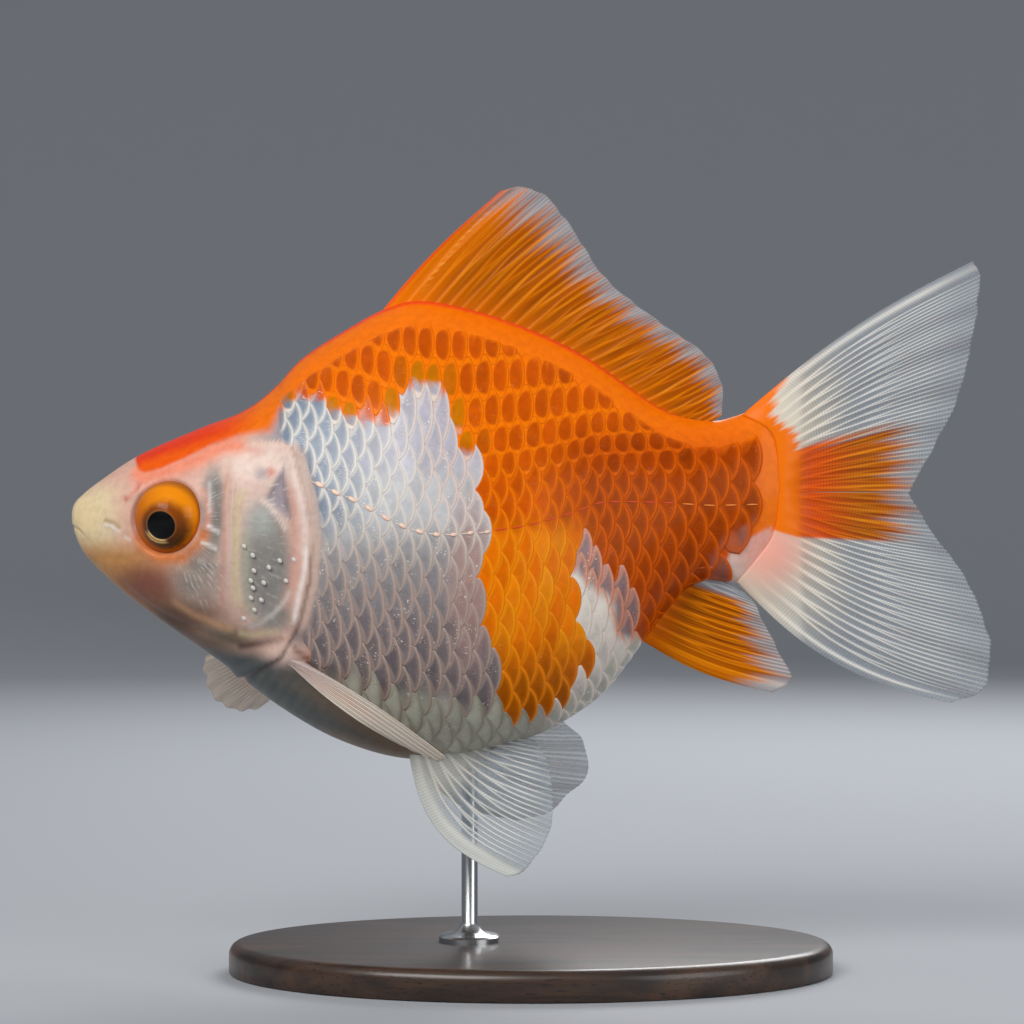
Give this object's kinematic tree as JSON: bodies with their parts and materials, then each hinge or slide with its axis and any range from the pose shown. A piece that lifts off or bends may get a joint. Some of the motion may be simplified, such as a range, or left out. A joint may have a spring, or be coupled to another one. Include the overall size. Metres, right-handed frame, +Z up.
{
  "type": "goldfish display model",
  "caption": "Life-size model of a hump-backed, single-tailed red and white goldfish with spread fins, held over a flat base by a short rod.",
  "frame": {"origin": "middle of the underside of the stand's base, on the surface that it stands on", "axes": "+X from the snout towards the tail, +Y towards the fish's right side, +Z up"},
  "size_m": [0.18, 0.08, 0.1536],
  "materials": {
    "pearl_skin": "wet-looking satin skin, pearl white with grey-violet scale centres",
    "orange_skin": "wet-looking satin skin, deep orange with darker scale centres",
    "clear_fin": "translucent whitish fin membrane over fine branched rays",
    "orange_fin": "translucent amber-orange fin membrane, paler at its rear edge",
    "eye_gold": "glossy clear-fronted eye, orange with a brown iris and black pupil",
    "dark_wood": "dark stained hardwood with a satin lacquer",
    "satin_steel": "satin stainless steel"
  },
  "bodies": {
    "root": {"head": "pearl_skin", "lower_jaw": "pearl_skin", "gill_cover_left": "pearl_skin", "gill_cover_right": "pearl_skin", "trunk": "pearl_skin", "tail_stock": "orange_skin", "eye_left": "eye_gold", "eye_right": "eye_gold", "dorsal_fin": "orange_fin", "anal_fin": "orange_fin", "tail_fin_upper": "clear_fin", "tail_fin_lower": "clear_fin", "pelvic_fin_left": "clear_fin", "pelvic_fin_right": "clear_fin", "pectoral_fin_left": "clear_fin", "pectoral_fin_right": "clear_fin", "stand_base": "dark_wood", "stand_rod": "satin_steel"}
  },
  "joints": []
}
